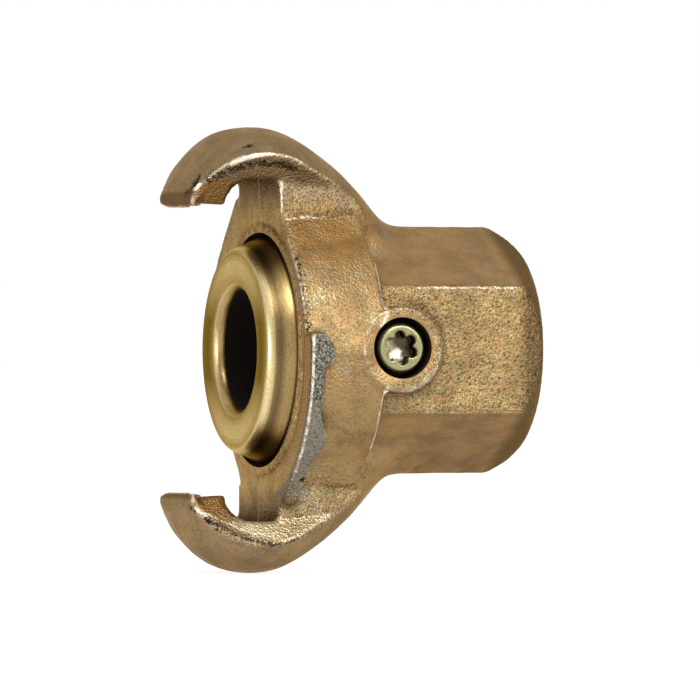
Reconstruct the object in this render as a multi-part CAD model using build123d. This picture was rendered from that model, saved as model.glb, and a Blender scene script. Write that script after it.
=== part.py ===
from build123d import *
import math
import os

# Claw hose coupling with a G 3/4 female thread, in millimetres.
# +X runs from the claws to the thread, the claws stand up and down along Z,
# and the retaining screw is on the -Y side. The origin is the centre of the
# thread's mouth. "ahead" is a distance in front of the flange plane, towards
# the claws, and "behind" is a distance the other way, towards the thread.

# Casting: hub, hexagon and flange
body_length = 40.2
collar_radius = 20.45
collar_length = 13.3
hex_across_flats = 33.0
hex_end_round_length = 4.1
hex_end_round_middle = 1.9
hex_end_middle_radius = 17.75
hex_end_radius = 15.8
hex_edge_radius = 1.2
face_dish = 0.4
dish_edge_radius = 25.8

# Ledges that carry the collar up to the claw roots
ledge_overhang = 1.6
ledge_front_half_width = 9.9
ledge_back_half_width = 8.9
ledge_rise = 0.6
ledge_back_share = 0.9

# Claws: outer surface, side walls, pocket and lip
claw_gap = 42.2
claw_tip_slant = 0.6
claw_root_half_width = 9.7
claw_tail_half_width = 7.3
claw_side_knee = 25.6
claw_side_angle = 45.0
claw_tip_ahead = 13.4
claw_tip_rake = 0.35
pocket_length = 7.4
pocket_radius = 27.4
pocket_corner_depth = 3.2
pocket_corner_length = 2.0
pocket_corner_share = 0.2
lip_back_radius = 22.5
lip_front_radius = 23.0
lip_half_width = 6.0
nib_half_width = 7.9
nib_length = 0.4
nib_ramp_length = 0.8
nib_ramp_height = 1.2
nib_top = 24.0

# Crest of the claw's outer surface: distance ahead of the flange plane,
# height above the axis and radius across the claw
claw_stations = [
    (14.6, 22.3, 24.0),
    (13.4, 24.7, 24.0),
    (11.7, 27.6, 24.0),
    (9.6, 30.6, 24.0),
    (6.8, 32.75, 24.0),
    (3.4, 33.65, 23.5),
    (0.0, 33.65, 21.0),
    (-4.0, 32.5, 16.0),
    (-8.0, 30.2, 12.5),
    (-12.0, 27.1, 11.0),
    (-15.4, 23.8, 9.5),
    (-17.6, 21.3, 8.5),
    (-20.0, 19.4, 8.0),
    (-24.0, 18.6, 7.5),
]
claw_section_floor = 10.0

# Rim that the mating claw turns onto, with its start knob and locking cam
rim_radius = 24.0
rim_thickness = 2.4
rim_start_height = 2.3
rim_flare_side = 10.8
rim_flare_overhang = 1.68
knob_thickness = 4.0
knob_corner_radius = 1.2
knob_tail_height = -2.6
cam_angle = 35.5
cam_thickness = 3.9
cam_half_length = 4.6
cam_top_half_length = 0.9

# Screw boss on the casting
boss_behind = 15.7
boss_radius = 6.5
counterbore_radius = 4.62
counterbore_depth = 4.6
screw_rise = 0.3

# Recess, bore and thread of the casting
recess_clearance = 1.7
recess_depth = 11.0
thread_minor_radius = 12.06
thread_length = 15.9
thread_relief_radius = 13.6
thread_relief_length = 0.9

# Brass sleeve: a head that meets the mating coupling and a barrel behind it
head_ahead = 4.0
head_behind = 4.0
head_clearance = 0.9
head_shoulder_drop = 0.8
head_crest_drop = 2.8
head_outer_round = 2.1
head_shoulder_slope = 0.4
mouth_step = 0.1
mouth_roll_width = 1.9
mouth_round = 1.7
barrel_radius = 12.5
barrel_wall = 3.5
barrel_end_behind = 21.2
barrel_clearance = 0.05
sleeve_travel = 2.5

# Rubber seal ring in the sleeve's mouth and O-ring round its barrel
face_seal_pocket_wall = 0.9
face_seal_behind = 3.5
seal_clearance = 0.05
o_ring_section = 1.78
o_ring_squeeze = 0.12
o_ring_groove_width = 2.3
o_ring_behind = 19.4

# Compression spring between the head and the recess floor
spring_wire = 1.8
spring_gap = 1.8
spring_turns = 2.25
spring_end_flat = 0.35

# Retaining screw, M5 with a star socket and a dog point
screw_head_radius = 3.75
screw_head_sink = 0.5
screw_head_chamfer = 0.4
screw_shank_radius = 2.5
screw_hole_clearance = 0.05
screw_bore_gap = 0.3
dog_radius = 1.6
dog_engagement = 1.5
dog_clearance = 0.15
star_outer_radius = 2.6
star_inner_radius = 1.85
star_lobe_radius = 0.78
star_depth = 1.9
star_lobes = 6
star_turn = 38.0

# Distance by which blocks and cuts run past the surfaces they meet
overrun = 1.0

# Sizes that follow from those above
flange_x = -body_length
collar_back_x = flange_x + collar_length
hex_apothem = hex_across_flats / 2
hex_corner_radius = hex_apothem / math.cos(math.radians(30))
bore_radius = barrel_radius + barrel_clearance
barrel_bore_radius = barrel_radius - barrel_wall
mouth_radius = barrel_bore_radius + mouth_step
face_seal_outer_radius = barrel_radius - face_seal_pocket_wall
spring_mean_radius = barrel_radius + spring_gap + spring_wire / 2
recess_radius = spring_mean_radius + spring_wire / 2 + recess_clearance
head_base_radius = recess_radius - head_clearance
head_shoulder_radius = head_base_radius - head_shoulder_drop
head_crest_outer = head_base_radius - head_crest_drop
head_crest_inner = mouth_radius + mouth_roll_width
recess_floor_x = flange_x + recess_depth
thread_start_x = -thread_length
screw_x = flange_x + boss_behind
boss_face = collar_radius
screw_seat = boss_face - counterbore_depth
slot_floor_radius = barrel_radius - dog_engagement - dog_clearance


def ahead(distance):
    """X of a plane a distance in front of the flange plane."""
    return flange_x - distance


def behind(distance):
    """X of a plane a distance behind the flange plane."""
    return flange_x + distance


def cross_plane(x):
    """Plane across the axis: local x is +Y and local y is +Z."""
    return Plane(origin=(x, 0, 0), x_dir=(0, 1, 0), z_dir=(1, 0, 0))


def prism(sketch, x_start, x_end):
    """Extrude a sketch drawn across the axis from one X to another."""
    return extrude(cross_plane(x_start) * sketch, x_end - x_start)


def rod(radius, x_start, x_end):
    """Round bar on the coupling's axis."""
    return prism(Circle(radius), x_start, x_end)


def tube(outer_radius, inner_radius, x_start, x_end):
    """Round tube on the coupling's axis."""
    return prism(Circle(outer_radius) - Circle(inner_radius), x_start, x_end)


def turned(points):
    """Revolve a closed outline of (x, radius) points round the axis."""
    return revolve(Plane.XZ * make_face(Polyline(*points, close=True)), Axis.X)


def both_ends_up(shape):
    """A claw feature above the axis and its mirror image below it."""
    return shape + mirror(shape, Plane.XY)


def both_sides(shape):
    """A flange feature and its copy turned half a turn about the axis."""
    return shape + shape.rotate(Axis.X, 180)


def claw_section(distance, crest, radius):
    """Arch across the axis that bounds the claw's outer surface."""
    spring_line = crest - radius
    arch = ThreePointArc((radius, spring_line), (0, crest), (-radius, spring_line))
    floor = min(claw_section_floor, spring_line - claw_section_floor)
    legs = Polyline(
        (-radius, spring_line), (-radius, floor), (radius, floor), (radius, spring_line)
    )
    return cross_plane(ahead(distance)) * make_face(arch + legs)


def claw_outer():
    """Body of the claw under its crowned outer surface."""
    return loft([claw_section(*station) for station in claw_stations])


def claw_wall_section(x, half_width):
    """Outline between the claw's side walls: upright at the root, flared above."""
    reach = 2 * collar_radius
    flare = math.tan(math.radians(claw_side_angle))
    knee = claw_side_knee - (claw_root_half_width - half_width) / flare
    top_half_width = half_width + (reach - knee) * flare
    outline = Polygon(
        (-half_width, 0),
        (half_width, 0),
        (half_width, knee),
        (top_half_width, reach),
        (-top_half_width, reach),
        (-half_width, knee),
        align=None,
    )
    return cross_plane(x) * outline


def claw_sides():
    """Wedge between the claw's side walls, drawn in along the hub and at the lip."""
    root = claw_wall_section(flange_x, claw_root_half_width)
    tail = claw_wall_section(ahead(claw_stations[-1][0]), claw_tail_half_width)
    lip = claw_wall_section(flange_x, lip_half_width)
    arm = extrude(lip, flange_x - ahead(claw_stations[0][0]), dir=(-1, 0, 0))
    return loft([root, tail], ruled=True) + arm


def tip_nib():
    """Full-width front wall of the claw, slanted below and with a ramp behind."""
    front = ahead(claw_tip_ahead + overrun)
    back = ahead(claw_tip_ahead - nib_length)
    bottom = claw_gap / 2
    side_view = Polygon(
        (front, 0),
        (front, nib_top),
        (back + nib_ramp_length, nib_top),
        (back + nib_ramp_length, bottom + nib_ramp_height),
        (back, bottom),
        (back, 0),
        align=None,
    )
    front_view = Polygon(
        (-nib_half_width, bottom),
        (nib_half_width, bottom + claw_tip_slant),
        (nib_half_width, nib_top),
        (-nib_half_width, nib_top),
        align=None,
    )
    block = extrude(Plane.XZ * side_view, nib_half_width, both=True)
    return block & prism(front_view, front, back + nib_ramp_length)


def claw_pocket():
    """Ring-shaped pocket behind the lip, rounded in its front upper corner."""
    front_radius = pocket_radius - pocket_corner_depth
    middle_radius = pocket_radius - pocket_corner_depth / 2
    middle_length = pocket_corner_length * pocket_corner_share
    return turned(
        [
            (flange_x, 0),
            (ahead(pocket_length), 0),
            (ahead(pocket_length), front_radius),
            (ahead(pocket_length - middle_length), middle_radius),
            (ahead(pocket_length - pocket_corner_length), pocket_radius),
            (flange_x, pocket_radius),
        ]
    )


def lip_bore():
    """Slightly conical clearance under the claw's lip for the mate's collar."""
    front = ahead(claw_tip_ahead + 2 * overrun)
    back = ahead(pocket_length)
    return turned([(front, 0), (front, lip_front_radius), (back, lip_back_radius), (back, 0)])


def upper_claw():
    """One claw: crowned arm, seal-side pocket, hooked lip and raked tip."""
    envelope = claw_outer()
    claw = envelope & claw_sides()
    claw -= claw_pocket()
    claw -= lip_bore()
    claw += envelope & tip_nib()
    tip_low = ahead(claw_tip_ahead)
    tip_high = ahead(claw_tip_ahead + claw_tip_rake)
    far = ahead(claw_stations[0][0] + overrun)
    waste = Polygon(
        (tip_low, 0),
        (tip_low, claw_gap / 2),
        (tip_high, nib_top),
        (far, nib_top),
        (far, 0),
        align=None,
    )
    return claw - extrude(Plane.XZ * waste, pocket_radius, both=True)


def claw_ledge():
    """Ledge that fills the corner between the collar and one claw's side."""
    span = collar_radius + ledge_overhang
    ledge_height = math.sqrt(span**2 - ledge_front_half_width**2)
    lean = math.acos(collar_radius / span)
    touch = math.atan2(ledge_height, ledge_front_half_width) - lean
    touch_y = collar_radius * math.cos(touch)
    touch_z = collar_radius * math.sin(touch)
    front = Polygon(
        (0, touch_z),
        (touch_y, touch_z),
        (ledge_front_half_width, ledge_height),
        (0, ledge_height),
        align=None,
    )
    back_top = ledge_height + ledge_rise
    back_side = touch_y * ledge_back_share
    back = Polygon(
        (0, touch_z),
        (back_side, touch_z),
        (ledge_back_half_width, back_top),
        (0, back_top),
        align=None,
    )
    sections = [cross_plane(flange_x) * front, cross_plane(collar_back_x) * back]
    return loft(sections, ruled=True)


def rim():
    """Quarter rim on the near lower side, straight-flared to the lower claw."""
    span = rim_radius + rim_flare_overhang
    rim_flare_height = math.sqrt(span**2 - rim_flare_side**2)
    lean = math.acos(rim_radius / span)
    touch = math.atan2(rim_flare_height, rim_flare_side) - lean
    touch_point = (-rim_radius * math.cos(touch), -rim_radius * math.sin(touch))
    flare_point = (-rim_flare_side, -rim_flare_height)
    flare = Polygon((0, 0), touch_point, flare_point, (0, -rim_flare_height), align=None)
    reach = 2 * rim_radius
    window = Polygon(
        (0, rim_start_height),
        (-reach, rim_start_height),
        (-reach, -reach),
        (0, -reach),
        align=None,
    )
    outline = (Circle(rim_radius) & window) + flare
    plate = prism(outline, flange_x, behind(rim_thickness))
    return plate + rim_knob() + rim_cam()


def rim_knob():
    """Thick rounded start of the rim, which stops the mating claw."""
    corner_x = behind(knob_thickness)
    outline = Polygon(
        (flange_x, rim_start_height),
        (corner_x, rim_start_height),
        (corner_x, 0),
        (behind(rim_thickness), knob_tail_height),
        (flange_x, knob_tail_height),
        align=None,
    )
    corners = outline.vertices().group_by(Axis.X)[-1]
    outline = fillet(corners, knob_corner_radius)
    block = extrude(Plane.XZ * outline, rim_radius)
    return block & rod(rim_radius, flange_x, corner_x)


def rim_cam():
    """Low ramp on the rim's back, which locks the mating claw in place."""
    angle = math.radians(cam_angle)
    outward = (0, -math.cos(angle), -math.sin(angle))
    base = rim_thickness / 2
    plane = Plane(origin=(flange_x, 0, 0), x_dir=(1, 0, 0), z_dir=outward)
    outline = Polygon(
        (base, -cam_half_length),
        (rim_thickness, -cam_half_length),
        (cam_thickness, -cam_top_half_length),
        (cam_thickness, cam_top_half_length),
        (rim_thickness, cam_half_length),
        (base, cam_half_length),
        align=None,
    )
    block = extrude(plane * outline, rim_radius)
    return block & rod(rim_radius, flange_x, behind(cam_thickness))


def hexagon():
    """Wrench hexagon with corners up and down, turned to a cone at its back."""
    outline = RegularPolygon(hex_corner_radius, 6, rotation=90)
    bar = prism(fillet(outline.vertices(), hex_edge_radius), behind(collar_length / 2), 0)
    reach = 2 * hex_corner_radius
    end_round = ThreePointArc(
        (-hex_end_round_length, hex_corner_radius),
        (-hex_end_round_middle, hex_end_middle_radius),
        (0, hex_end_radius),
    )
    outside = Polyline(
        (0, hex_end_radius),
        (overrun, hex_end_radius),
        (overrun, reach),
        (-hex_end_round_length, reach),
        (-hex_end_round_length, hex_corner_radius),
    )
    return bar - revolve(Plane.XZ * make_face(end_round + outside), Axis.X)


def boss_blank():
    """Round boss for the retaining screw, flush with the collar's side."""
    plane = Plane(origin=(screw_x, 0, 0), x_dir=(1, 0, 0), z_dir=(0, -1, 0))
    return extrude(plane * Circle(boss_radius), boss_face)


def screw_plane(distance):
    """Plane across the screw's axis at a distance from the coupling's axis."""
    return Plane(origin=(screw_x, -distance, screw_rise), x_dir=(1, 0, 0), z_dir=(0, -1, 0))


def screw_cylinder(radius, start, end):
    """Round bar on the screw's axis between two distances from the coupling's axis."""
    return extrude(screw_plane(start) * Circle(radius), end - start)


def casting_blank():
    """Outside of the casting, before machining."""
    blank = rod(collar_radius, flange_x, collar_back_x) + hexagon()
    ledge = claw_ledge()
    ledges = ledge + mirror(ledge, Plane.XZ)
    blank += both_ends_up(ledges)
    blank += both_ends_up(upper_claw())
    blank += both_sides(rim())
    return blank + boss_blank()


def machining():
    """Everything cut out of the casting: recess, bore, thread and screw hole."""
    reach = 2 * dish_edge_radius
    cut = rod(recess_radius, ahead(overrun), recess_floor_x)
    cut += rod(bore_radius, flange_x, thread_start_x)
    cut += rod(thread_minor_radius, flange_x, overrun)
    cut += rod(thread_relief_radius, thread_start_x - thread_relief_length, thread_start_x)
    dish_slope = face_dish / (dish_edge_radius - recess_radius)
    dish_depth = face_dish + dish_slope * recess_radius
    cut += turned([(flange_x, 0), (flange_x + dish_depth, 0), (flange_x, dish_edge_radius)])
    cut += screw_cylinder(counterbore_radius, screw_seat, reach)
    cut += screw_cylinder(screw_shank_radius + screw_hole_clearance, 0, reach)
    return cut


def coupling_body():
    """Malleable iron casting with two claws, bayonet flange, hexagon and thread."""
    return casting_blank() - machining()


def head_outline():
    """Half section of the sleeve as a closed face of (x, radius)."""
    crest_x = ahead(head_ahead)
    shoulder_x = crest_x + head_outer_round
    mouth_x = crest_x + mouth_round
    barrel_x = behind(head_behind)
    end_x = behind(barrel_end_behind)
    outer_round = Spline(
        (crest_x, head_crest_outer),
        (shoulder_x, head_shoulder_radius),
        tangents=[(0, 1), (1, head_shoulder_slope)],
    )
    mouth_edge = Spline(
        (mouth_x, mouth_radius),
        (crest_x, head_crest_inner),
        tangents=[(-1, 0), (0, 1)],
    )
    outer = Polyline(
        (shoulder_x, head_shoulder_radius),
        (flange_x, head_base_radius),
        (barrel_x, head_base_radius),
        (barrel_x, barrel_radius),
        (end_x, barrel_radius),
        (end_x, barrel_bore_radius),
        (mouth_x, barrel_bore_radius),
        (mouth_x, mouth_radius),
    )
    crest = Line((crest_x, head_crest_inner), (crest_x, head_crest_outer))
    return make_face(outer_round + outer + mouth_edge + crest)


def sleeve_slot():
    """Keyway in the barrel that the screw's dog point runs in."""
    half_width = dog_radius + dog_clearance
    front = -(dog_radius + sleeve_travel + dog_clearance)
    back = dog_radius + dog_clearance
    length = back - front
    centre = (front + back) / 2
    outline = Pos(centre, 0) * SlotOverall(length, 2 * half_width)
    block = extrude(screw_plane(0) * outline, barrel_radius + overrun)
    return block - rod(slot_floor_radius, screw_x - length, screw_x + length)


def seal_sleeve():
    """Turned brass sleeve: rounded head, seal pocket, barrel, keyway and groove."""
    sleeve = revolve(Plane.XZ * head_outline(), Axis.X)
    pocket_x = ahead(head_ahead) + mouth_round
    sleeve -= rod(face_seal_outer_radius, pocket_x, behind(face_seal_behind))
    half_groove = o_ring_groove_width / 2
    groove_x = behind(o_ring_behind)
    groove_top = barrel_radius + overrun
    sleeve -= tube(groove_top, o_ring_floor(), groove_x - half_groove, groove_x + half_groove)
    return sleeve - sleeve_slot()


def o_ring_floor():
    """Radius of the O-ring groove's floor, for the ring's stated squeeze."""
    return bore_radius - o_ring_section * (1 - o_ring_squeeze)


def sleeve_o_ring():
    """O-ring squeezed between its groove and the casting's bore."""
    inner = o_ring_floor() + seal_clearance
    outer = bore_radius - seal_clearance
    half_width = o_ring_section / 2
    centre = Plane.XZ * Pos(behind(o_ring_behind), (inner + outer) / 2)
    return revolve(centre * Ellipse(half_width, (outer - inner) / 2), Axis.X)


def face_seal():
    """Black rubber ring held behind the sleeve's rounded mouth."""
    start = ahead(head_ahead) + mouth_round
    outer = face_seal_outer_radius - seal_clearance
    return tube(outer, mouth_radius, start, behind(face_seal_behind))


def seal_spring():
    """Coil spring round the barrel, ground flat against the head and the floor."""
    front = behind(head_behind)
    space = recess_floor_x - front
    rise = space + 2 * spring_end_flat - spring_wire
    start = front + spring_wire / 2 - spring_end_flat
    path = Helix(rise / spring_turns, rise, spring_mean_radius)
    path = Plane(origin=(start, 0, 0), x_dir=(0, 1, 0), z_dir=(1, 0, 0)) * path
    section = Plane(origin=path @ 0, z_dir=path % 0) * Circle(spring_wire / 2)
    coil = sweep(section, path=path, is_frenet=True)
    return coil & rod(recess_radius, front, recess_floor_x)


def star_socket():
    """Six-lobed driver recess drawn on the screw's axis."""
    spacing = star_outer_radius - star_lobe_radius
    outline = Circle(star_inner_radius)
    for lobe in PolarLocations(spacing, star_lobes, start_angle=star_turn):
        outline += lobe * Circle(star_lobe_radius)
    return outline


def retaining_screw():
    """Cheese-head screw with a star socket, threaded shank and dog point."""
    head_top = boss_face - screw_head_sink
    shank_end = bore_radius + screw_bore_gap
    dog_end = barrel_radius - dog_engagement
    head = screw_cylinder(screw_head_radius, screw_seat, head_top)
    top_edges = head.edges().sort_by(Axis.Y)[0]
    head = chamfer(top_edges, screw_head_chamfer)
    screw = head + screw_cylinder(screw_shank_radius, shank_end, screw_seat)
    screw += screw_cylinder(dog_radius, dog_end, shank_end)
    return screw - extrude(screw_plane(head_top) * star_socket(), -star_depth)


os.makedirs("parts", exist_ok=True)
export_step(coupling_body(), "parts/coupling_body.step")
export_step(seal_sleeve(), "parts/seal_sleeve.step")
export_step(face_seal(), "parts/face_seal.step")
export_step(sleeve_o_ring(), "parts/sleeve_o_ring.step")
export_step(seal_spring(), "parts/seal_spring.step")
export_step(retaining_screw(), "parts/retaining_screw.step")
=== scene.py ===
import math

import bmesh
import bpy
import numpy as np
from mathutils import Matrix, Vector, noise


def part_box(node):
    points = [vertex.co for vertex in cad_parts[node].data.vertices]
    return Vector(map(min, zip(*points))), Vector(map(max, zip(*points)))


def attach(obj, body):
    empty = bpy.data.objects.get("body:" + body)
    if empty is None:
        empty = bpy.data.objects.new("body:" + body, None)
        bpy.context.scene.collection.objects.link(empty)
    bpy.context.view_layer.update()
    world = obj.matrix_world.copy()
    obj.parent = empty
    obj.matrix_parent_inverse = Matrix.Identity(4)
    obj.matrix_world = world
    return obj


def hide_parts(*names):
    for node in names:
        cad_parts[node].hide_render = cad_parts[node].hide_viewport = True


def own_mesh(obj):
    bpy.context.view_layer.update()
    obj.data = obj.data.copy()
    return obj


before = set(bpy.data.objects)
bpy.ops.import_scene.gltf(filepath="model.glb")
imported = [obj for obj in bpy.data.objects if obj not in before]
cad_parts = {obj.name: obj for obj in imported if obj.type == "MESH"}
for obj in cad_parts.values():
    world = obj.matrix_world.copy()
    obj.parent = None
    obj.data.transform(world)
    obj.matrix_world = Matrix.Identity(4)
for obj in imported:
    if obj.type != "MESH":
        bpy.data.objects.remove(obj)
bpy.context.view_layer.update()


# The casting: two claws, flange, rims, collar, boss and hexagon poured in one
# piece of malleable iron. Bore, recess and thread are machined, and the whole
# is passivated to a dull greenish gold over a sandy, pitted skin.

MM = 0.001
FLANGE_X = -40.2
COLLAR_BACK_X = -26.9
BOSS_FACE = 20.45
RECESS_RADIUS = 17.8
RECESS_DEPTH = 11.0
BORE_RADIUS = 13.6
THREAD_ROOT_RADIUS = 13.3
THREAD_LENGTH = 15.9
TAP_END_X = 5.0
TAP_STEPS = 96
SCREW_X = -24.5
SCREW_Z = 0.3
COUNTERBORE_RADIUS = 4.62
HEXAGON_EDGE_Z = 9.5

# The remeshed skin: its cells and smoothing passes, how near a machined edge a
# point is drawn onto it, and how high the sand and the parting line stand.
SKIN_CELL = 0.44
SKIN_PASSES = 3
EDGE_REACH = 0.62
SKIN_RELIEF = 0.05
PARTING_HEIGHT = 0.14

# Casting pits: x, y, z, radius and depth in millimetres. The last three values
# widen a pit's mouth, curve its sides and deepen it.
PITS = [
    (-45.5, -10.7, 30.6, 0.55, 0.30),
    (-46.2, -10.6, 30.3, 0.40, 0.22),
    (-52.7, -6.6, 25.2, 0.80, 0.55),
    (-52.4, -6.9, 26.0, 0.55, 0.40),
    (-50.9, 8.2, 27.4, 0.50, 0.30),
    (-51.7, -9.6, -25.8, 0.55, 0.40),
    (-51.3, -10.3, -26.2, 0.35, 0.25),
    (-50.7, -10.5, -27.0, 0.40, 0.30),
    (-50.3, -11.1, -27.3, 0.40, 0.30),
    (-38.2, -14.5, -19.6, 0.50, 0.30),
]
PIT_MOUTH = 1.3
PIT_STEEPNESS = 1.3
PIT_DEEPENING = 1.6

# Painted edge highlights, partly rubbed bare: strength, reach to each side and line points, in
# millimetres.
HIGHLIT_EDGE_LINES = [
    # Upper claw, front edge and its run back to the neck
    (1.0, 0.60, [
        (-48.6, -11.9, 27.8), (-47.0, -12.6, 28.5), (-45.1, -13.2, 29.1), (-42.6, -13.5, 29.4),
        (-41.4, -13.4, 29.3)]),
    (0.5, 0.70, [(-41.4, -13.4, 29.3), (-39.8, -13.0, 29.1), (-37.0, -12.0, 28.0)]),
    (0.9, 0.60, [(-53.1, -7.6, 24.3), (-52.6, -8.5, 24.9)]),
    # Lower claw, tip and front edge
    (0.9, 0.60, [(-53.2, -7.8, -23.6), (-52.7, -8.2, -24.1), (-51.7, -8.8, -24.7)]),
    (0.6, 0.55, [
        (-51.7, -8.6, -24.5), (-50.2, -9.3, -25.3), (-48.2, -10.4, -26.2), (-45.3, -11.6, -27.4),
        (-42.0, -12.0, -28.0)]),
    # Ledge under the upper claw
    (0.38, 0.85, [(-40.0, -10.1, 19.5), (-37.0, -9.5, 20.0), (-32.0, -9.1, 19.8), (-28.2, -8.9, 20.2)]),
    # Upper and lower edge of the hexagon's near flat
    (0.42, 0.60, [(-20.5, -16.3, 9.4), (-4.5, -16.3, 9.4)]),
    (0.30, 0.60, [(-20.5, -16.3, -9.4), (-4.5, -16.3, -9.4)]),
    # Front edge of the lower rim
    (0.48, 0.60, [
        (-39.9, -23.9, 2.0), (-39.9, -23.6, -4.5), (-39.9, -22.2, -9.2), (-39.9, -19.4, -14.2),
        (-39.9, -15.5, -18.4)]),
    # Back edge of the collar, above and below the boss
    (0.56, 1.00, [(-26.9, -15.8, 13.0), (-26.9, -18.4, 9.0), (-26.9, -20.1, 5.0), (-28.0, -20.4, 3.6)]),
    (0.60, 0.95, [(-26.9, -20.0, -5.4), (-26.9, -17.6, -10.4), (-26.9, -14.0, -15.0)]),
    # Front edge of the flange, from the upper claw to the rim
    (0.52, 1.00, [
        (-40.1, -9.7, 25.0), (-40.1, -9.9, 20.0), (-40.1, -13.5, 15.3), (-40.1, -17.5, 10.5),
        (-40.1, -20.3, 4.0)]),
    # Upper and lower side of the boss
    (0.22, 1.40, [
        (-28.8, -20.4, 3.9), (-26.9, -20.4, 5.4), (-24.5, -20.4, 5.9), (-21.7, -20.4, 5.1),
        (-19.6, -20.4, 3.1)]),
    (0.34, 0.70, [(-19.6, -20.4, 3.1), (-18.6, -20.4, 0.3), (-19.3, -20.4, -2.5), (-21.5, -20.4, -5.0)]),
]

# Dark specks in bands, partly painted shade along the claws' edges, written as the highlit edges are.
SHADE_SPECK_LINES = [
    # Under the upper claw's front edge
    (0.68, 1.15, [
        (-52.0, -9.3, 25.2), (-49.4, -10.6, 26.5), (-47.6, -11.3, 27.2), (-45.9, -11.8, 27.7),
        (-44.2, -12.1, 28.0)]),
    (1.0, 0.90, [(-44.2, -12.1, 28.0), (-41.0, -12.0, 27.9), (-38.4, -11.3, 27.2)]),
    # Along the lower claw's front edge
    (1.4, 0.55, [
        (-51.9, -9.3, -25.2), (-49.4, -10.9, -26.8), (-47.4, -11.9, -27.8), (-45.3, -12.8, -28.6),
        (-43.0, -13.2, -29.1), (-40.1, -13.1, -28.9), (-38.0, -12.3, -28.2)]),
    # Corners of both tips
    (1.0, 0.90, [(-53.4, -5.2, 23.6), (-53.3, -6.6, 24.0)]),
    (1.0, 0.60, [(-53.4, -6.6, -23.6), (-53.2, -8.2, -24.4)]),
    # Beside the flange's front edge
    (0.55, 1.20, [(-39.6, -20.2, 2.8), (-39.6, -19.6, 6.0), (-39.6, -17.9, 10.0), (-39.6, -15.2, 14.0)]),
]
SHADED_LINE = [(-25.5, -19.4, -5.8), (-25.5, -16.8, -10.9), (-25.3, -13.2, -15.8)]
SHADED_REACH = 1.6


def lathe(name, profile, steps):
    """Closed solid of revolution about X from a loop of (x, radius) points in millimetres."""
    turn = np.linspace(0, 2 * math.pi, steps, endpoint=False)
    points = [(x * MM, r * MM * math.cos(a), r * MM * math.sin(a)) for a in turn for x, r in profile]
    count = len(profile)
    faces = []
    for step in range(steps):
        here, there = step * count, (step + 1) % steps * count
        for k in range(count):
            n = (k + 1) % count
            faces.append((here + k, there + k, there + n, here + n))
    return solid(name, points, faces)


def solid(name, points, faces):
    """Closed mesh with doubled points merged and every face turned outwards."""
    mesh = bpy.data.meshes.new(name)
    mesh.from_pydata(points, [], faces)
    form = bmesh.new()
    form.from_mesh(mesh)
    bmesh.ops.remove_doubles(form, verts=form.verts, dist=1e-7)
    bmesh.ops.dissolve_degenerate(form, edges=form.edges, dist=1e-8)
    bmesh.ops.recalc_face_normals(form, faces=form.faces)
    form.to_mesh(mesh)
    form.free()
    return mesh


def place(name, mesh):
    """New object of that mesh, in the scene."""
    obj = bpy.data.objects.new(name, mesh)
    bpy.context.collection.objects.link(obj)
    return obj


def subtract(obj, tool):
    """The tool's solid is cut out of the object."""
    cut = obj.modifiers.new("cut " + tool.name, "BOOLEAN")
    cut.operation = "DIFFERENCE"
    cut.solver = "EXACT"
    cut.object = tool


def finished(name, obj, *tools):
    """New object of the first one's mesh with its modifiers applied; the old ones go."""
    seen = obj.evaluated_get(bpy.context.evaluated_depsgraph_get())
    piece = place(name, bpy.data.meshes.new_from_object(seen))
    for used in (obj, *tools):
        bpy.data.objects.remove(used)
    return piece


def soften_skin(obj, cell, passes):
    """Rebuilds an object's surface in small cells and rounds its edges a little."""
    skin = obj.modifiers.new("skin", "REMESH")
    skin.mode = "VOXEL"
    skin.voxel_size = cell * MM
    skin.use_smooth_shade = True
    soft = obj.modifiers.new("soft edges", "SMOOTH")
    soft.factor = 0.5
    soft.iterations = passes


def positions(mesh):
    """The mesh's points in millimetres."""
    flat = np.empty(len(mesh.vertices) * 3)
    mesh.vertices.foreach_get("co", flat)
    return flat.reshape(-1, 3) / MM


def normals(mesh):
    """The normals at the mesh's points."""
    flat = np.empty(len(mesh.vertices) * 3)
    mesh.vertex_normals.foreach_get("vector", flat)
    return flat.reshape(-1, 3)


def edge_ends(mesh):
    """The numbers of the two points at the ends of each edge."""
    pairs = np.empty(len(mesh.edges) * 2, dtype=np.int64)
    mesh.edges.foreach_get("vertices", pairs)
    return pairs.reshape(-1, 2)


def move(mesh, at):
    """Puts the mesh's points at those places in millimetres."""
    mesh.vertices.foreach_set("co", (at * MM).ravel())
    mesh.update()


def bulge(mesh, spread):
    """How far each point stands out of its neighbourhood: above 0 on an edge, below 0 in a corner."""
    at, out = positions(mesh), normals(mesh)
    a, b = edge_ends(mesh).T
    run = at[b] - at[a]
    run /= np.linalg.norm(run, axis=1)[:, None] + 1e-9
    total, share = np.zeros(len(at)), np.zeros(len(at))
    np.add.at(total, a, -(out[a] * run).sum(1))
    np.add.at(total, b, (out[b] * run).sum(1))
    np.add.at(share, a, 1)
    np.add.at(share, b, 1)
    value = total / np.maximum(share, 1)
    for _ in range(spread):
        total = value * share
        np.add.at(total, a, value[b])
        np.add.at(total, b, value[a])
        value = total / (2 * share)
    return value


def relax(mesh, share, passes):
    """Draws each point towards the middle of its neighbours by its share, pass after pass."""
    at = positions(mesh)
    a, b = edge_ends(mesh).T
    count = np.maximum(np.bincount(np.concatenate((a, b)), minlength=len(at)), 1)[:, None]
    for _ in range(passes):
        total = np.zeros_like(at)
        np.add.at(total, a, at[b])
        np.add.at(total, b, at[a])
        at += share[:, None] * (total / count - at)
    move(mesh, at)


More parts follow.
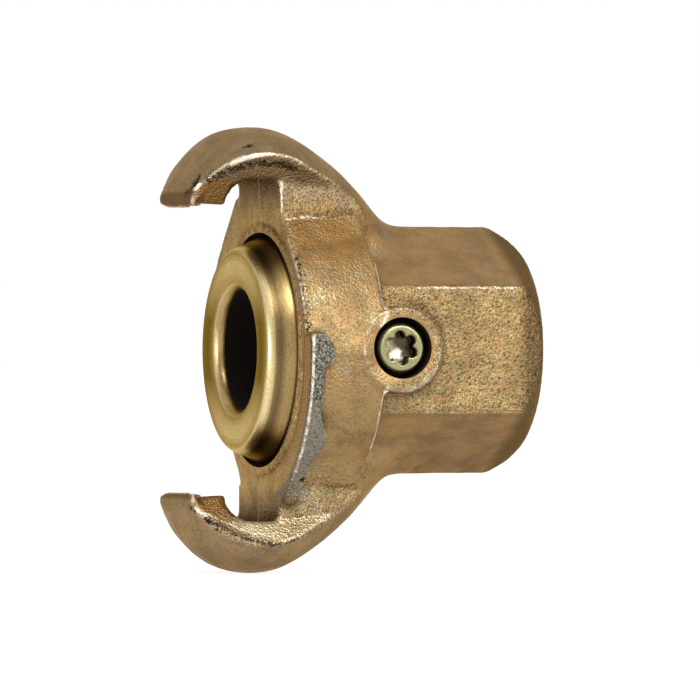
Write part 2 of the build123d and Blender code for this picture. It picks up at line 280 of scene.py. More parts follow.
def sharpen_hole(at, axis, middle, radius, face, wall):
    """Draws points near a round hole's wall and face onto them; true for those on its edge."""
    across = [k for k in range(3) if k != axis]
    from_middle = at[:, across] - middle
    reach = np.linalg.norm(from_middle, axis=1)
    on_wall = (np.abs(reach - radius) < EDGE_REACH) & within(at[:, axis], *wall)
    on_face = (np.abs(at[:, axis] - face) < EDGE_REACH) & (reach < radius + 1.0)
    at[np.ix_(on_wall, across)] = middle + from_middle[on_wall] * (radius / reach[on_wall])[:, None]
    at[on_face, axis] = face
    return on_wall & on_face


def ripple(points, size, seed):
    """Soft noise from -1 to 1 at each point, with waves of about that size in millimetres."""
    shift = Vector((seed, 2.7 * seed, -1.3 * seed))
    return np.array([noise.noise(Vector(p) / size + shift) for p in points])


def within(values, low, high):
    """Whether each value lies between the two."""
    return (values > low) & (values < high)


def ramp(values, zero_at, one_at):
    """0 up to one value and 1 from the other one on, with an even slope between them."""
    return np.clip((values - zero_at) / (one_at - zero_at), 0, 1)


def band(values, middle, full, fade):
    """1 as far as that from the middle, falling to 0 over the distance after it."""
    return np.clip((full + fade - np.abs(values - middle)) / fade, 0, 1)


def spot(points, middle, half_size, steepness=1.0):
    """1 in the middle of an oval spot, falling to 0 at its edge."""
    outward = np.linalg.norm((points - np.array(middle)) / half_size, axis=1)
    return np.clip(steepness * (1 - outward), 0, 1)


def along(points, line, reach):
    """1 on a line of points, falling to 0 at that distance in millimetres from it."""
    nearest = np.full(len(points), 1e9)
    for start, end in zip(line, line[1:]):
        start, run = np.array(start), np.subtract(end, start)
        share = np.clip((points - start) @ run / (run @ run), 0, 1)
        nearest = np.minimum(nearest, np.linalg.norm(points - start - share[:, None] * run, axis=1))
    return np.clip(1 - nearest / reach, 0, 1)


def strongest_line(points, lines):
    """The strongest of several lines at each point, from their strengths and reaches."""
    return np.max([strength * along(points, line, reach) for strength, reach, line in lines], axis=0)


def paint(mesh, name, values):
    """Stores one number from 0 to 1 at each point, for the material to read."""
    layer = mesh.attributes.new(name, "FLOAT", "POINT")
    layer.data.foreach_set("value", np.clip(values, 0, 1).astype(np.float32))


raw = place("raw_casting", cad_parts["coupling_body"].data.copy())
tap = place("tap", lathe("tap", [
    (-THREAD_LENGTH, 0), (-THREAD_LENGTH, THREAD_ROOT_RADIUS), (TAP_END_X, THREAD_ROOT_RADIUS),
    (TAP_END_X, 0)], TAP_STEPS))
subtract(raw, tap)
soften_skin(raw, SKIN_CELL, SKIN_PASSES)
casting = finished("casting", raw, tap)

# Cast forms run into each other: the tips' corners and the lower claw's edge
# are rounded, and the claws sink softly into the hexagon at the neck.
x, y, z = positions(casting.data).T
tip_corner = (x < -51.9) & (np.abs(y) > 5.2) & (np.abs(z) < 24.6)
relax(casting.data, 0.6 * tip_corner, passes=10)
neck = ramp(x, zero_at=COLLAR_BACK_X + 0.1, one_at=COLLAR_BACK_X + 1.3)
neck *= ramp(x, zero_at=-13.0, one_at=-16.0)
neck *= ramp(np.abs(z), zero_at=12.5, one_at=14.0) * ramp(np.abs(y), zero_at=2.5, one_at=4.5)
relax(casting.data, 0.7 * neck, passes=60)
lower_edge = np.clip(6.0 * bulge(casting.data, 4) - 0.2, 0, 1)
lower_edge *= within(x, -51.5, -30.0) & (y < -6.0) & (z < -22.0)
relax(casting.data, 0.6 * lower_edge, passes=14)

# Machined edges stay crisp: the mouth of the recess and that of the counterbore.
at = positions(casting.data)
on_edge = sharpen_hole(
    at, axis=0, middle=(0, 0), radius=RECESS_RADIUS, face=FLANGE_X,
    wall=(FLANGE_X - 0.3, FLANGE_X + RECESS_DEPTH - 1.0))
on_edge |= sharpen_hole(
    at, axis=1, middle=(SCREW_X, SCREW_Z), radius=COUNTERBORE_RADIUS, face=-BOSS_FACE,
    wall=(-BOSS_FACE - 1.0, -16.8))
casting.data.edges.foreach_set("use_edge_sharp", on_edge[edge_ends(casting.data)].all(axis=1))
move(casting.data, at)

# Sand, the parting line and the pits raise or sink the rest of the skin.
x, y, z = at.T
out = normals(casting.data)
out_x, out_y, out_z = out.T
axis_distance = np.hypot(y, z)
screw_distance = np.hypot(x - SCREW_X, z - SCREW_Z)
past_flange = x - FLANGE_X
in_recess = (axis_distance < RECESS_RADIUS + 0.25) & within(past_flange, 0, RECESS_DEPTH + 0.3)
in_recess |= (axis_distance < BORE_RADIUS + 0.4) & (past_flange > 0)
in_counterbore = (screw_distance < COUNTERBORE_RADIUS + 0.1) & (y < -13)
mouth_face = (x > -0.3) & (out_x > 0.8)
cast_skin = 1 - (in_recess | in_counterbore | mouth_face)
recess_edge = band(axis_distance, RECESS_RADIUS, full=0.7, fade=0.7)
recess_edge *= band(past_flange, 0, full=0.7, fade=0.7)
counterbore_edge = band(screw_distance, COUNTERBORE_RADIUS, full=0.5, fade=0.5) * (y < -19.0)
plain_edge = 1 - np.maximum(recess_edge, counterbore_edge)

coarse = np.maximum(ramp(np.abs(out_y), zero_at=0.45, one_at=0.75), 0.25)
coarse = np.maximum(coarse, np.minimum(ramp(np.abs(out_x), zero_at=0.6, one_at=0.9), 0.65)) * cast_skin
coarse *= 1 - 0.7 * neck
coarse[within(axis_distance, 19.2, 22.0) & within(past_flange, 0.3, 13.6)] *= 0.5
on_claw = np.abs(z) > 21.5
coarse[on_claw] = np.maximum(0.8 * coarse[on_claw], 0.42)
sand = coarse * ripple(at, size=0.8, seed=1.0)
sand += ripple(at, size=3.0, seed=4.0) + ripple(at, size=9.0, seed=7.0)
lift = SKIN_RELIEF * sand * cast_skin * plain_edge

pillar_face = (np.abs(out_x + 1) < 0.2) & (np.abs(past_flange) < 1) & (axis_distance > 18)
parting = band(y, 0, full=0, fade=0.5) * pillar_face
lift += PARTING_HEIGHT * parting * (0.7 + 0.6 * ripple(at, size=2.0, seed=3.0))

pitted = np.zeros(len(at))
for *middle, radius, depth in PITS:
    near = spot(at, middle, PIT_MOUTH * radius)
    pitted = np.maximum(pitted, near)
    lift -= PIT_DEEPENING * depth * near ** PIT_STEEPNESS
low, high = (np.array(corner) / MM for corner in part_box("coupling_body"))
move(casting.data, np.clip(at + lift[:, None] * out, low, high))

# Where the tips are cut raw, where the rim is bare, and where the claws and the ledge have a tone of their
# own;
# painted light on the front face, and painted shade under the lips, orange with reflected light, and on
# the turned end.
tip_top = np.where(z > 0, 24.0, 22.6)
tip_face = ramp(past_flange, zero_at=-12.9, one_at=-13.2) * (out_x < -0.75)
tip_face *= ramp(np.abs(z), zero_at=tip_top, one_at=tip_top - 0.5)
rim = ramp(axis_distance, zero_at=22.5, one_at=23.1) * within(past_flange, -0.6, 4.6)
rim *= (z * np.sign(y) > -2.6) * ramp(np.abs(z), zero_at=22.9, one_at=21.7) * np.where(y > 0, 0.4, 1.0)
claw_skin = ramp(np.abs(z), zero_at=21.0, one_at=23.5) * (x < -28.0)
front_face_light = ramp(-out_x, zero_at=0.6, one_at=0.9) * (np.abs(past_flange) < 1.5)
front_face_light *= 0.45 + 0.55 * ramp(z, zero_at=6.0, one_at=-6.0)
warm_ledge = spot(at, (-33.0, -12.0, 16.5), (12.6, 11.2, 6.3), steepness=1.4) * (y < 0)
lip_height = np.where(z > 0, 27.0, 25.2)
under_lip_shade = (out_z * np.sign(z) < -0.25) & (np.abs(z) < lip_height)
under_lip_shade &= within(x, -52.6, -45.6) & (np.abs(y) < 9.5)
turned_end_shade = ramp(x, zero_at=-4.6, one_at=-2.8) * (axis_distance > 13.0)

# Painted shade in the pockets' roofs, at the boss's foot and behind the collar.
pocket_roof = within(x, -47.8, -39.3) & (np.abs(y) < 9.0) & (np.abs(z) < 28.2)
pocket_shade = ramp(np.abs(z), zero_at=21.0, one_at=25.6) * pocket_roof
foot_distance = np.hypot(x - SCREW_X - 0.8, z - SCREW_Z)
boss_foot = band(foot_distance, 7.2, full=0.14, fade=0.7) * within(y, -19.2, -15.0)
boss_foot *= ramp(x - SCREW_X, zero_at=0.5, one_at=2.5)
behind_collar = along(at, SHADED_LINE, SHADED_REACH)

# Painted light and glints on the lower claw's wall and corner, the collar's front and the near flat.
lower_wall = spot(at, (-38.5, -11.5, -24.0), (15.0, 6.5, 8.0), steepness=2.4)
lower_wall *= ramp(out_z, zero_at=0.1, one_at=0.35) * (z < -19.0)
lower_corner = spot(at, (-34.5, -13.0, -21.5), (7.2, 6.4, 5.6), steepness=1.6)
collar_front = spot(at, (-38.0, -18.5, 7.5), 8.5)
near_flat = (out_y < -0.93) & (x > -26.0)

# Edges are worn and carry painted highlights; corners take painted shade, but less of it around the boss.
standing = bulge(casting.data, 1)
wide_standing = bulge(casting.data, 5)
boss_edge = band(screw_distance, 6.1, full=0, fade=0.7) * (y < -19.8)
near_boss = ramp(screw_distance, zero_at=12.5, one_at=7.5) * (y < -13.0)
worn_and_highlit = np.minimum(4.0 * standing + 3.5 * wide_standing - 0.30, 0.62) * plain_edge
corner_shade = (-6.0 * standing - 6.0 * wide_standing - 0.15) * (1 - 0.7 * near_boss) * plain_edge

casting_masks = {
    "coarse": coarse,
    "parting": parting,
    "pitted": 3.0 * pitted - 0.3,
    "tip_face": tip_face,
    "rim": rim,
    "claw_skin": claw_skin,
    "front_face_light": front_face_light,
    "warm_ledge": warm_ledge,
    "under_lip_shade": under_lip_shade,
    "turned_end_shade": turned_end_shade,
    "shade": np.max([pocket_shade, 0.7 * boss_foot, 0.4 * behind_collar], axis=0),
    "glinting": np.max([lower_wall, 0.85 * lower_corner, 0.75 * collar_front, 0.30 * near_flat], axis=0),
    "worn_and_highlit": np.maximum(worn_and_highlit, 0.62 * boss_edge),
    "corner_shade": corner_shade,
    "highlit_and_rubbed": 1.5 * strongest_line(at, HIGHLIT_EDGE_LINES),
    "speckled_shade": 1.4 * strongest_line(at, SHADE_SPECK_LINES),
}
for name, values in casting_masks.items():
    paint(casting.data, name, values)
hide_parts("coupling_body")
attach(casting, "shell")


class Shader:
    """A material or node group being wired: nodes by kind, and links by socket."""

    def __init__(self, tree):
        self.tree = tree

    def add(self, kind, **settings):
        node = self.tree.nodes.new(kind)
        for key, value in settings.items():
            setattr(node, key, value)
        return node

    def wire(self, source, target):
        self.tree.links.new(source, target)

    def put(self, value, socket):
        """A socket is linked, and anything else is written on the input."""
        if isinstance(value, bpy.types.NodeSocket):
            self.wire(value, socket)
        else:
            socket.default_value = value

    def math(self, operation, first, second=0.0, clamp=False):
        node = self.add("ShaderNodeMath", operation=operation, use_clamp=clamp)
        self.put(first, node.inputs[0])
        self.put(second, node.inputs[1])
        return node.outputs[0]

    def mix(self, share, first, second, blend="MIX"):
        node = self.add("ShaderNodeMix", data_type="RGBA", blend_type=blend)
        self.put(share, node.inputs["Factor"])
        self.put(first, node.inputs["A"])
        self.put(second, node.inputs["B"])
        return node.outputs["Result"]

    def over(self, tone, mask, colour, share=1.0, blend="MIX"):
        """Lays a colour over a tone where a mask is: a socket, or the name of a painted mask."""
        if isinstance(mask, str):
            mask = self.stored(mask)
        return self.mix(self.math("MULTIPLY", mask, share), tone, colour, blend)

    def remap(self, value, low, high, to_low=0.0, to_high=1.0):
        node = self.add("ShaderNodeMapRange", interpolation_type="SMOOTHSTEP")
        self.put(value, node.inputs["Value"])
        self.put(low, node.inputs["From Min"])
        self.put(high, node.inputs["From Max"])
        self.put(to_low, node.inputs["To Min"])
        self.put(to_high, node.inputs["To Max"])
        return node.outputs["Result"]

    def noise(self, where, scale, detail=3.0, roughness=0.55):
        node = self.add("ShaderNodeTexNoise")
        self.wire(where, node.inputs["Vector"])
        self.put(scale, node.inputs["Scale"])
        self.put(detail, node.inputs["Detail"])
        self.put(roughness, node.inputs["Roughness"])
        return node.outputs["Fac"]

    def shifted(self, where, by):
        """The place moved along, so that a pattern there differs from one without it."""
        node = self.add("ShaderNodeMapping")
        self.wire(where, node.inputs["Vector"])
        node.inputs["Location"].default_value = by
        return node.outputs["Vector"]

    def distance(self, first, first_middle, second, second_middle):
        """Distance across from a line, from two of the point's coordinates."""
        first = self.math("POWER", self.math("SUBTRACT", first, first_middle), 2.0)
        second = self.math("POWER", self.math("SUBTRACT", second, second_middle), 2.0)
        return self.math("SQRT", self.math("ADD", first, second))

    def millimetres(self):
        """The point on the piece in millimetres, which keeps patterns fixed to it."""
        where = self.add("ShaderNodeTexCoord").outputs["Object"]
        scaled = self.add("ShaderNodeVectorMath", operation="SCALE")
        self.wire(where, scaled.inputs[0])
        scaled.inputs["Scale"].default_value = 1 / MM
        return scaled.outputs["Vector"]

    def apart(self, where):
        """The three coordinates of a place."""
        parts = self.add("ShaderNodeSeparateXYZ")
        self.wire(where, parts.inputs["Vector"])
        return parts.outputs

    def relief(self, height, depth, strength=1.0):
        """The normal that a height gives, with that depth in millimetres."""
        node = self.add("ShaderNodeBump")
        node.inputs["Strength"].default_value = strength
        node.inputs["Distance"].default_value = depth * MM
        self.wire(height, node.inputs["Height"])
        return node.outputs["Normal"]

    def stored(self, name):
        return self.add("ShaderNodeAttribute", attribute_name=name).outputs["Fac"]

    def group(self, tree, **values):
        node = self.add("ShaderNodeGroup", node_tree=tree)
        for name, value in values.items():
            self.put(value, node.inputs[name.replace("_", " ")])
        return node.outputs


def effect(name, inputs, outputs):
    """An empty shader node group with those named sockets, ready to be wired."""
    tree = bpy.data.node_groups.new(name, "ShaderNodeTree")
    for socket, kind, value in inputs:
        entry = tree.interface.new_socket(socket, in_out="INPUT", socket_type=kind)
        entry.default_value = value
    for socket, kind in outputs:
        tree.interface.new_socket(socket, in_out="OUTPUT", socket_type=kind)
    made = Shader(tree)
    given = made.add("NodeGroupInput").outputs
    result = made.add("NodeGroupOutput").inputs
    return made, given, result


def material(name):
    """A new material, the wiring to work on it, and its surface."""
    made = bpy.data.materials.new(name)
    made.use_nodes = True
    return made, Shader(made.node_tree), made.node_tree.nodes["Principled BSDF"]


def dress(obj, made):
    """The whole piece takes that material."""
    obj.data.materials.clear()
    obj.data.materials.append(made)


NUMBER, HUE = "NodeSocketFloat", "NodeSocketColor"

mottle, given, result = effect(
    "mottled passivation",
    [("First", HUE, (0.30, 0.21, 0.11, 1)), ("Second", HUE, (0.2, 0.15, 0.09, 1)),
     ("Warm", HUE, (0.35, 0.2, 0.14, 1)), ("Cool", HUE, (0.2, 0.22, 0.15, 1)),
     ("Patch size", NUMBER, 5.0), ("Tint", NUMBER, 0.5)],
    [("Color", HUE), ("Patch", NUMBER)])
where = mottle.millimetres()
elsewhere = mottle.shifted(where, (31.0, 17.0, 5.0))
patch_scale = mottle.math("DIVIDE", 1.0, given["Patch size"])
spot_scale = mottle.math("MULTIPLY", patch_scale, 2.3)
patch = mottle.noise(where, patch_scale, detail=5.0, roughness=0.6)
warm_spots = mottle.remap(mottle.noise(where, spot_scale, detail=4.0, roughness=0.65), 0.5, 0.72)
cool_spots = mottle.remap(mottle.noise(elsewhere, spot_scale, detail=4.0, roughness=0.65), 0.5, 0.72)
tone = mottle.mix(mottle.remap(patch, 0.35, 0.65), given["First"], given["Second"])
tone = mottle.over(tone, warm_spots, given["Warm"], share=given["Tint"])
tone = mottle.over(tone, cool_spots, given["Cool"], share=given["Tint"])
mottle.wire(tone, result["Color"])
mottle.wire(patch, result["Patch"])

grain, given, result = effect(
    "sandy grain",
    [("Grain size", NUMBER, 0.6), ("Flecks", NUMBER, 0.5)],
    [("Height", NUMBER), ("Fleck", NUMBER), ("Glint", NUMBER)])
where = grain.millimetres()
elsewhere = grain.shifted(where, (3.0, 47.0, 11.0))
grain_scale = grain.math("DIVIDE", 1.0, given["Grain size"])
fine_sand = grain.noise(where, grain_scale, detail=3.0, roughness=0.5)
cells = grain.add("ShaderNodeTexVoronoi", feature="SMOOTH_F1")
grain.wire(where, cells.inputs["Vector"])
grain.wire(grain.math("MULTIPLY", grain_scale, 1.4), cells.inputs["Scale"])
cells.inputs["Smoothness"].default_value = 0.8
round_sand = grain.math("MULTIPLY", cells.outputs["Distance"], 0.8)
grain.wire(grain.math("ADD", fine_sand, round_sand), result["Height"])
flecks = grain.noise(where, grain.math("MULTIPLY", grain_scale, 1.7), detail=2.0, roughness=0.7)
grain.wire(grain.math("MULTIPLY", grain.remap(flecks, 0.60, 0.74), given["Flecks"]), result["Fleck"])
glints = grain.noise(elsewhere, grain.math("MULTIPLY", grain_scale, 1.2), detail=3.0, roughness=0.7)
grain.wire(grain.remap(glints, 0.48, 0.70), result["Glint"])

# Lays a bare colour over a mask, broken up: for worn edges, and for painted highlights along edges.
rub, given, result = effect(
    "rubbed edges",
    [("Color", HUE, (0.3, 0.2, 0.1, 1)), ("Bare", HUE, (0.6, 0.55, 0.45, 1)),
     ("Mask", NUMBER, 0.0), ("Breakup size", NUMBER, 0.8), ("Amount", NUMBER, 1.0)],
    [("Color", HUE), ("Rubbed", NUMBER)])
breakup_scale = rub.math("DIVIDE", 1.0, given["Breakup size"])
breakup = rub.noise(rub.millimetres(), breakup_scale, detail=4.0, roughness=0.7)
broken = rub.math("MULTIPLY", rub.math("SUBTRACT", breakup, 0.5), 0.9)
broken = rub.math("ADD", given["Mask"], broken)
rubbed_share = rub.math("MULTIPLY", rub.remap(broken, 0.35, 0.75), given["Amount"], clamp=True)
rub.wire(rub.mix(rubbed_share, given["Color"], given["Bare"]), result["Color"])
rub.wire(rubbed_share, result["Rubbed"])

# Colours of the casting, which the masks above lay out.
CLAW_TINT = (0.92, 0.97, 1.22, 1)
FRONT_FACE_LIGHT = (1.48, 1.46, 1.44, 1)
LEDGE_TINT = (1.02, 0.86, 0.66, 1)
LOWER_FACET_SHADE = (0.80, 0.75, 0.90, 1)
UPPER_FACET_LIGHT = (1.11, 1.09, 1.22, 1)
SAND_VALLEY_TINT = (0.40, 0.43, 0.40, 1)
SAND_TOP_TINT = (1.14, 1.23, 1.18, 1)
NO_TINT = (1, 1, 1, 1)
LIP_SHADE_ORANGE = (0.27, 0.135, 0.042, 1)
RIM_DARK = (0.050, 0.042, 0.035, 1)
RIM_GREY = (0.205, 0.180, 0.150, 1)
RIM_LOWER_GREY = (0.185, 0.155, 0.130, 1)
TURNED_END_SHADE_BROWN = (0.088, 0.052, 0.022, 1)
LIT_WALL = (0.44, 0.36, 0.21, 1)
FLECK_BROWN = (0.075, 0.048, 0.025, 1)
TIP_BROWN = (0.095, 0.052, 0.033, 1)
WORN_AND_LIT_EDGE = (0.50, 0.43, 0.31, 1)
CORNER_SHADE_BROWN = (0.06, 0.030, 0.012, 1)
SHADE_BROWN = (0.04, 0.022, 0.010, 1)
PARTING_PALE = (0.42, 0.33, 0.20, 1)
SHADE_SPECK_DARK = (0.028, 0.02, 0.014, 1)
EDGE_HIGHLIGHT_PALE = (0.80, 0.72, 0.58, 1)
GLINT_PALE = (0.75, 0.64, 0.42, 1)
PIT_BLACK = (0.012, 0.009, 0.007, 1)
RECESS_SHADE = (0.035, 0.024, 0.012, 1)
IRON_SHEEN = (0.78, 0.62, 0.42, 1)

iron, wiring, shine = material("passivated_casting")
skin_tone = wiring.group(
    mottle.tree, First=(0.290, 0.184, 0.080, 1), Second=(0.214, 0.132, 0.060, 1),
    Warm=(0.300, 0.148, 0.066, 1), Cool=(0.215, 0.196, 0.118, 1), Patch_size=4.4, Tint=0.65)
sand_grain = wiring.group(grain.tree, Grain_size=0.48, Flecks=1.0)
grainy = wiring.stored("coarse")
where = wiring.millimetres()
x, y, z = wiring.apart(where)

tone = wiring.over(skin_tone["Color"], "claw_skin", CLAW_TINT, blend="MULTIPLY")
# Painted light on the flange's front face, lighter towards the bottom.
tone = wiring.over(tone, "front_face_light", FRONT_FACE_LIGHT, blend="MULTIPLY")
tone = wiring.over(tone, "warm_ledge", LEDGE_TINT, blend="MULTIPLY")
# Painted shade, orange with reflected light, under the claws' lips.
tone = wiring.over(tone, "under_lip_shade", LIP_SHADE_ORANGE, share=0.75)
rim_speck = wiring.noise(where, 2.6, detail=3.0, roughness=0.75)
rim_tone = wiring.mix(wiring.remap(rim_speck, 0.42, 0.58), RIM_DARK, RIM_GREY)
rim_tone = wiring.over(rim_tone, wiring.remap(z, -6.5, -10.5), RIM_LOWER_GREY, share=0.85)
tone = wiring.over(tone, "rim", rim_tone)
# Painted shade on the lower facets of the hexagon, most towards its end, and painted light on the upper
# ones.
lower_facet_shade = wiring.remap(z, 0.2 - HEXAGON_EDGE_Z, -0.6 - HEXAGON_EDGE_Z)
lower_share = wiring.remap(x, -24.0, -12.0, 0.0, 0.8)
tone = wiring.over(tone, lower_facet_shade, LOWER_FACET_SHADE, share=lower_share, blend="MULTIPLY")
upper_facet_light = wiring.remap(z, HEXAGON_EDGE_Z - 0.2, HEXAGON_EDGE_Z + 0.6)
upper_share = wiring.remap(x, -27.0, -21.0)
tone = wiring.over(tone, upper_facet_light, UPPER_FACET_LIGHT, share=upper_share, blend="MULTIPLY")
# Painted shade on the turned end of the hexagon.
tone = wiring.over(tone, "turned_end_shade", TURNED_END_SHADE_BROWN, share=0.85)
# Painted light where the glinting is strongest, on the lower claw's wall.
tone = wiring.mix(wiring.remap(wiring.stored("glinting"), 0.5, 1.0, 0.0, 0.5), tone, LIT_WALL)

sand_shade = wiring.mix(wiring.remap(sand_grain["Height"], 0.45, 0.95), SAND_VALLEY_TINT, SAND_TOP_TINT)
tone = wiring.mix(1.0, tone, wiring.mix(grainy, NO_TINT, sand_shade), "MULTIPLY")
tone = wiring.over(tone, sand_grain["Fleck"], FLECK_BROWN, share=wiring.math("MULTIPLY", grainy, 0.25))
tone = wiring.over(tone, "tip_face", TIP_BROWN, share=0.9)
# Edges worn bare, which also stands for painted highlights on them.
edges = wiring.group(
    rub.tree, Color=tone, Bare=WORN_AND_LIT_EDGE, Mask=wiring.stored("worn_and_highlit"), Breakup_size=2.0, Amount=0.7)
# Painted shade in corners, then in the pockets' roofs and the other shaded places; a pale parting line.
tone = wiring.over(edges["Color"], "corner_shade", CORNER_SHADE_BROWN, share=0.8)
tone = wiring.over(tone, "shade", SHADE_BROWN, share=0.85)
tone = wiring.over(tone, "parting", PARTING_PALE, share=0.65)

# Dark specks laid in bands, partly painted shade along the claws' edges.
soot_speck = wiring.noise(where, 2.6, detail=3.0, roughness=0.7)
shade_speck_share = wiring.math("ADD", wiring.stored("speckled_shade"), wiring.remap(soot_speck, 0.35, 0.65, -0.6, 0.5))
shade_speck_share = wiring.math("MULTIPLY", wiring.remap(shade_speck_share, 0.45, 0.75), 0.95)
tone = wiring.over(tone, shade_speck_share, SHADE_SPECK_DARK, share=wiring.remap(wiring.stored("speckled_shade"), 0.0, 0.4))
# Painted highlights along edges, partly rubbed bare.
bright = wiring.group(
    rub.tree, Color=tone, Bare=EDGE_HIGHLIGHT_PALE, Mask=wiring.stored("highlit_and_rubbed"), Breakup_size=0.9, Amount=0.92)
# Painted glints: pale flecks where the glinting is.
glint = wiring.math("ADD", wiring.stored("glinting"), wiring.math("MULTIPLY", sand_grain["Glint"], 0.9))
glint = wiring.remap(glint, 0.75, 1.35)
tone = wiring.over(bright["Color"], glint, GLINT_PALE, share=wiring.stored("glinting"))
tone = wiring.over(tone, "pitted", PIT_BLACK)

# Painted shade on the walls of the recess and of the counterbore.
from_axis = wiring.distance(y, 0.0, z, 0.0)
from_screw = wiring.distance(x, SCREW_X, z, SCREW_Z)
shaded_recess_wall = wiring.remap(from_axis, RECESS_RADIUS + 0.03, RECESS_RADIUS - 0.03)
shaded_recess_wall = wiring.math("MULTIPLY", shaded_recess_wall, wiring.remap(x, FLANGE_X + 0.02, FLANGE_X + 0.3))
past_floor = wiring.remap(x, FLANGE_X + RECESS_DEPTH + 0.2, FLANGE_X + RECESS_DEPTH + 0.4)
past_floor = wiring.math("MULTIPLY", past_floor, wiring.remap(from_axis, BORE_RADIUS, BORE_RADIUS + 0.4))
shaded_recess_wall = wiring.math("SUBTRACT", shaded_recess_wall, past_floor, clamp=True)
shaded_screw_wall = wiring.remap(from_screw, COUNTERBORE_RADIUS + 0.03, COUNTERBORE_RADIUS - 0.03)
shaded_screw_wall = wiring.math("MULTIPLY", shaded_screw_wall, wiring.remap(y, 0.02 - BOSS_FACE, 0.25 - BOSS_FACE))
shaded_screw_wall = wiring.math("MULTIPLY", shaded_screw_wall, wiring.remap(y, -12.0, -13.0))
tone = wiring.mix(wiring.math("MAXIMUM", shaded_recess_wall, shaded_screw_wall), tone, RECESS_SHADE)

wiring.wire(tone, shine.inputs["Base Color"])
shine.inputs["Metallic"].default_value = 0.9
shine.inputs["Specular Tint"].default_value = IRON_SHEEN
dull = wiring.remap(skin_tone["Patch"], 0.3, 0.7, 0.38, 0.52)
dull = wiring.math("SUBTRACT", dull, wiring.math("MULTIPLY", edges["Rubbed"], 0.10))
wiring.wire(dull, shine.inputs["Roughness"])
sand_height = wiring.math("MULTIPLY", sand_grain["Height"], grainy)
wiring.wire(wiring.relief(sand_height, depth=0.22), shine.inputs["Normal"])
dress(casting, iron)


# The female pipe thread: about nine turns cut into the hexagon's mouth, with
# rounded crests and a small lead-in chamfer, left bright by the tap.

THREAD_PITCH = 1.814
THREAD_CREST_RADIUS = 12.06
THREAD_DEPTH = 1.15
THREAD_LEAD_IN = 0.9
THREAD_FLANK = 1.3
THREAD_FLAT = 0.15
THREAD_MOUTH_X = -0.05
THREAD_BACK_RADIUS = THREAD_ROOT_RADIUS + 0.05
ROWS_PER_TURN = 12
THREAD_STEPS = 120


def thread_radius(x, turn):
    """Radius of the thread at that X and share of a turn, opened by the lead-in."""
    phase = (x / THREAD_PITCH + turn) % 1
    groove = min(max(THREAD_FLANK * abs(2 * phase - 1) - THREAD_FLAT, 0), 1)
    groove = groove * groove * (3 - 2 * groove)
    return max(THREAD_CREST_RADIUS + THREAD_DEPTH * groove, THREAD_CREST_RADIUS + THREAD_LEAD_IN + x)


def round_point(x, radius, angle):
    """A point in metres at that X, radius and angle about the axis."""
    return (x * MM, radius * MM * math.cos(angle), radius * MM * math.sin(angle))


thread_rows = round(ROWS_PER_TURN * THREAD_LENGTH / THREAD_PITCH)
turns = [step / THREAD_STEPS for step in range(THREAD_STEPS)]
points = []
for row in range(thread_rows + 1):
    row_x = -THREAD_LENGTH + (THREAD_LENGTH + THREAD_MOUTH_X) * row / thread_rows
    points += [round_point(row_x, thread_radius(row_x, turn), 2 * math.pi * turn) for turn in turns]
for row_x in (-THREAD_LENGTH, THREAD_MOUTH_X):
    points += [round_point(row_x, THREAD_BACK_RADIUS, 2 * math.pi * turn) for turn in turns]
faces = []
rings = list(range(thread_rows + 1)) + [thread_rows + 2, thread_rows + 1]
for ring, next_ring in zip(rings, rings[1:] + rings[:1]):
    for step in range(THREAD_STEPS):
        after = (step + 1) % THREAD_STEPS
        faces.append((ring * THREAD_STEPS + step, ring * THREAD_STEPS + after,
                      next_ring * THREAD_STEPS + after, next_ring * THREAD_STEPS + step))
thread = place("female_thread", solid("female_thread", points, faces))
thread.data.shade_smooth()

bright_iron, wiring, shine = material("tapped_iron")
cut_tone = wiring.group(
    mottle.tree, First=(0.42, 0.35, 0.22, 1), Second=(0.34, 0.28, 0.18, 1),
    Warm=(0.42, 0.29, 0.20, 1), Cool=(0.32, 0.32, 0.24, 1), Patch_size=3.0, Tint=0.4)
wiring.wire(cut_tone["Color"], shine.inputs["Base Color"])
shine.inputs["Metallic"].default_value = 0.85
wiring.wire(wiring.remap(cut_tone["Patch"], 0.3, 0.7, 0.28, 0.42), shine.inputs["Roughness"])
dress(thread, bright_iron)
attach(thread, "shell")


# The seal sleeve: turned from brass bar, with a rounded head that meets the
# mating coupling, a rolled mouth, and a barrel that slides in the casting's
# bore. A keyway for the screw's point and an O-ring groove are cut in it.

HEAD_FRONT_X = -44.2
HEAD_BACK_X = -36.2
HEAD_RADIUS = 16.9
HEAD_CHAMFER = 0.15
SHOULDER = (-42.1, 16.1)
SKIRT_MIDDLE = (-41.2, 16.48)
MOUTH = (-42.5, 9.1)
CREST_RADII = (11.0, 12.0, 13.2, 14.4)
BARREL_RADIUS = 12.5
BARREL_END_X = -19.0
BARREL_CHAMFER = 0.2
AIR_RADIUS = 9.0
SEAL_POCKET_RADIUS = 11.6
SEAL_POCKET_END_X = -36.7
GROOVE_X = (-21.95, -19.65)
GROOVE_FLOOR = 10.984
KEYWAY = (-28.75, -22.75)
KEYWAY_HALF_WIDTH = 1.75
KEYWAY_FLOOR = 10.85
KEYWAY_MILL_TOP = 14.0
KEYWAY_END_STEPS = 13
ROUND_STEPS = 14
SLEEVE_STEPS = 192
CREASE_ANGLE = 32


def curve_through(start, pull_start, pull_end, end, steps):
    """Points along a cubic curve from start to just before end."""
    corners = np.array([start, pull_start, pull_end, end], dtype=float)
    share = np.linspace(0, 1, steps, endpoint=False)[:, None]
    rest = 1 - share
    curve = rest ** 3 * corners[0] + 3 * rest ** 2 * share * corners[1]
    curve += 3 * rest * share ** 2 * corners[2] + share ** 3 * corners[3]
    return [tuple(point) for point in curve]


def crease(mesh, degrees):
    """Smooth shading, broken at edges sharper than that angle."""
    mesh.shade_smooth()
    form = bmesh.new()
    form.from_mesh(mesh)
    for edge in form.edges:
        edge.smooth = edge.calc_face_angle(0) < math.radians(degrees)
    form.to_mesh(mesh)
    form.free()


